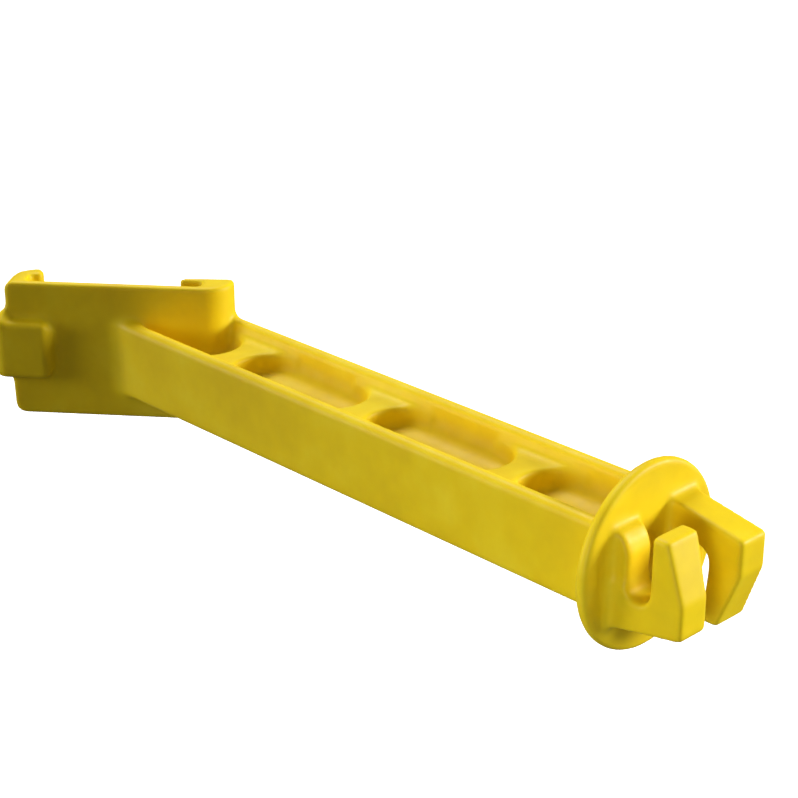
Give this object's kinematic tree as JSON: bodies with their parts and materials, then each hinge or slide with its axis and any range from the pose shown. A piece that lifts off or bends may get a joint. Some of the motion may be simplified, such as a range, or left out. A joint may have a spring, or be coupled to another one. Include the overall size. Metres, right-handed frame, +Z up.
{
  "type": "fence insulator",
  "caption": "Yellow plastic stand-off fence insulator: a springy clip for a steel T-post, a ribbed arm at an angle, a round rain flange and a twist-in wire holder.",
  "frame": {"origin": "on the clip's post-bearing face, where the arm's axis meets it", "axes": "-Y along the arm from the post to the wire holder, X along the fence wire, +Z up along the post"},
  "size_m": [0.0435, 0.1659, 0.0326],
  "materials": {
    "moulding": "semi-matt moulded polyethylene, slightly translucent"
  },
  "bodies": {
    "insulator": {"post_plate": "moulding", "right_wall": "moulding", "right_hook": "moulding", "left_rail": "moulding", "right_rail": "moulding", "web": "moulding", "root_rib_upper": "moulding", "root_rib_lower": "moulding", "rib_a_upper": "moulding", "rib_a_lower": "moulding", "rib_b_upper": "moulding", "rib_b_lower": "moulding", "rain_flange": "moulding", "holder_root_left": "moulding", "prong_left": "moulding", "slot_block_left": "moulding", "holder_root_right": "moulding", "prong_right": "moulding", "slot_block_right": "moulding"},
    "jaw": {"jaw_plate": "moulding", "left_wall": "moulding", "left_hook": "moulding", "thumb_grip": "moulding"}
  },
  "joints": [
    {"name": "jaw_flex", "type": "hinge", "parent": "insulator", "child": "jaw", "pos_m": [-0.01844, 0.01886, 0], "axis": [0, 0, 1], "range_deg": [0, 30], "stiffness_Nm_per_rad": 0.3}
  ]
}
